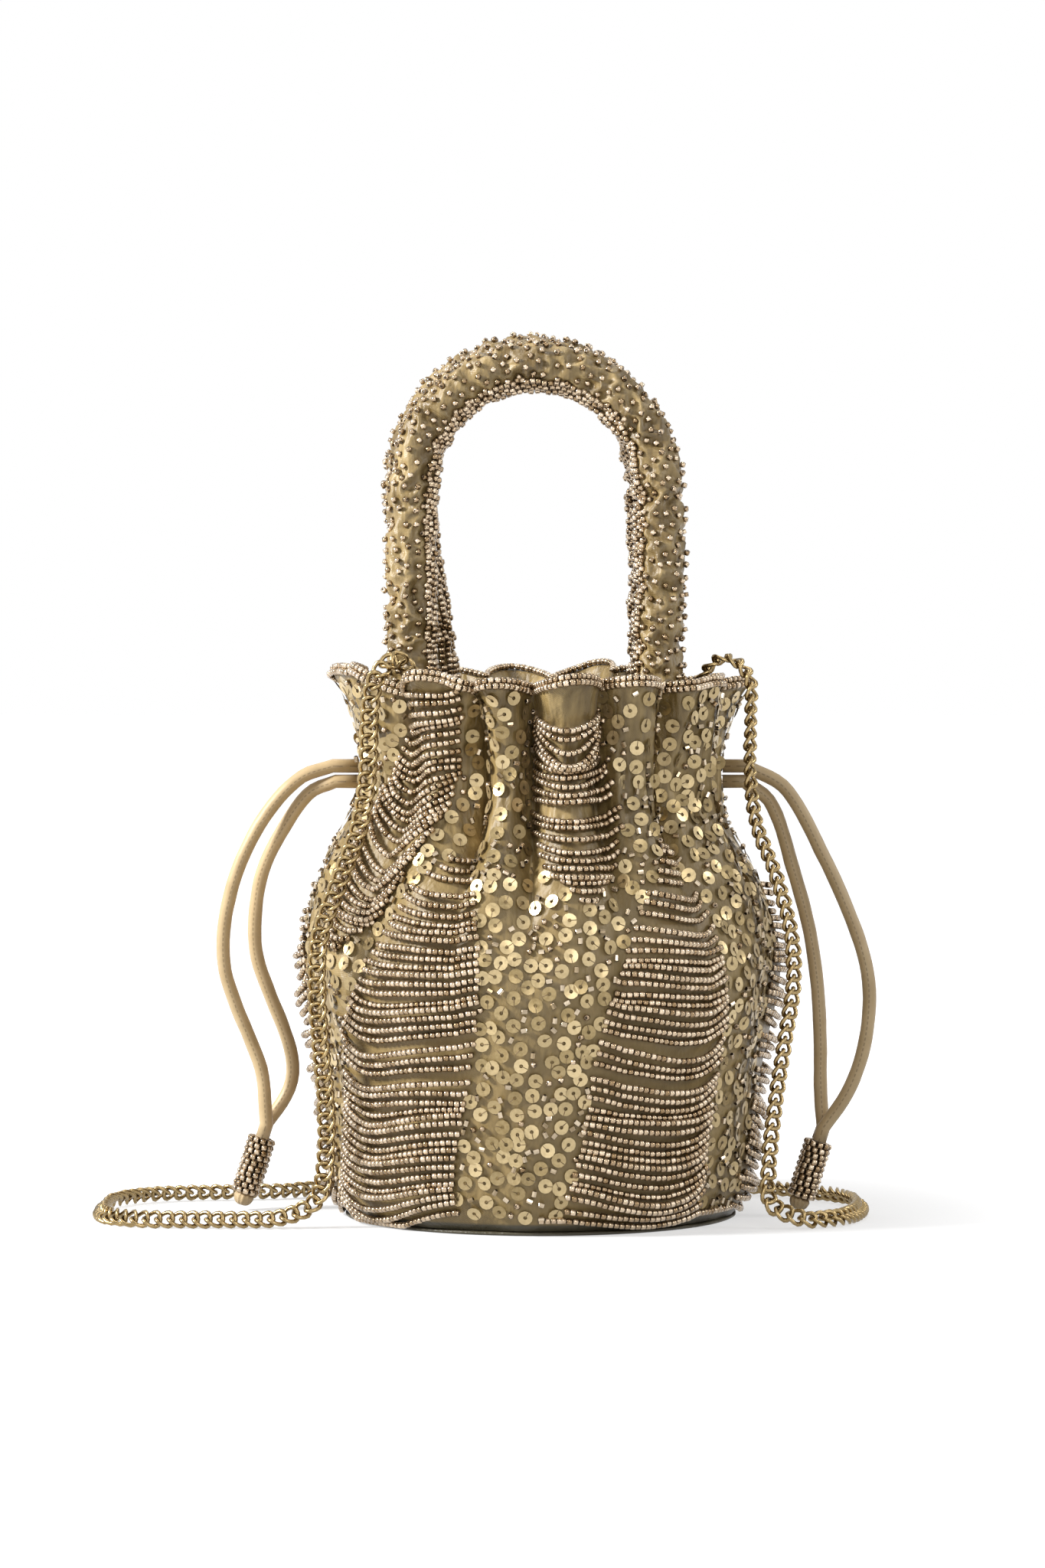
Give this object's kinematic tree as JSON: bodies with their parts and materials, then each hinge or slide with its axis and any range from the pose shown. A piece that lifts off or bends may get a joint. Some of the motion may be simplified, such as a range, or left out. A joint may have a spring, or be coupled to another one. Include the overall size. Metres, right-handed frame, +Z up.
{
  "type": "potli bag",
  "caption": "Round cloth bag gathered at a drawcord neck, with draped bead swags, sequins, two padded top handles, cords ending in beaded barrels, and a chain strap.",
  "frame": {"origin": "centre of the base panel's underside, where the bag rests", "axes": "+Z up, -Y towards the front, +X to the right as seen from the front"},
  "size_m": [0.2851, 0.1857, 0.3193],
  "materials": {
    "satin": "champagne gold satin, gathered",
    "handle_satin": "wrinkled champagne satin over padding",
    "cord_satin": "smooth satin tube cord with a stitched seam",
    "lining": "plain satin lining",
    "card": "stiff board",
    "beads": "silver-lined champagne glass seed beads",
    "brass": "antique gold plated curb chain"
  },
  "bodies": {
    "root": {"outer_shell": "satin", "base_panel": "satin", "base_board": "card", "lining": "lining", "rim_edging": "beads", "handle_front": "handle_satin", "handle_rear": "handle_satin", "swag_upper_front_left": "beads", "swag_upper_front_right": "beads", "swag_upper_right": "beads", "swag_upper_back": "beads", "swag_upper_left": "beads", "swag_lower_front_left": "beads", "swag_lower_front_right": "beads", "swag_lower_right": "beads", "swag_lower_back_right": "beads", "swag_lower_back_left": "beads", "swag_lower_left": "beads", "drawcord_left_outer": "cord_satin", "drawcord_left_inner": "cord_satin", "drawcord_right_outer": "cord_satin", "drawcord_right_inner": "cord_satin", "cord_barrel_left": "beads", "barrel_cap_left": "cord_satin", "chain_ring_left": "brass", "chain_tab_left": "satin", "cord_barrel_right": "beads", "barrel_cap_right": "cord_satin", "chain_ring_right": "brass", "chain_tab_right": "satin", "chain_left_drop": "brass", "chain_left_front_run": "brass", "chain_left_turn": "brass", "chain_left_back_run": "brass", "chain_back_left": "brass", "chain_back_right": "brass", "chain_right_turn": "brass", "chain_right_front_run": "brass", "chain_right_drop": "brass"}
  },
  "joints": []
}
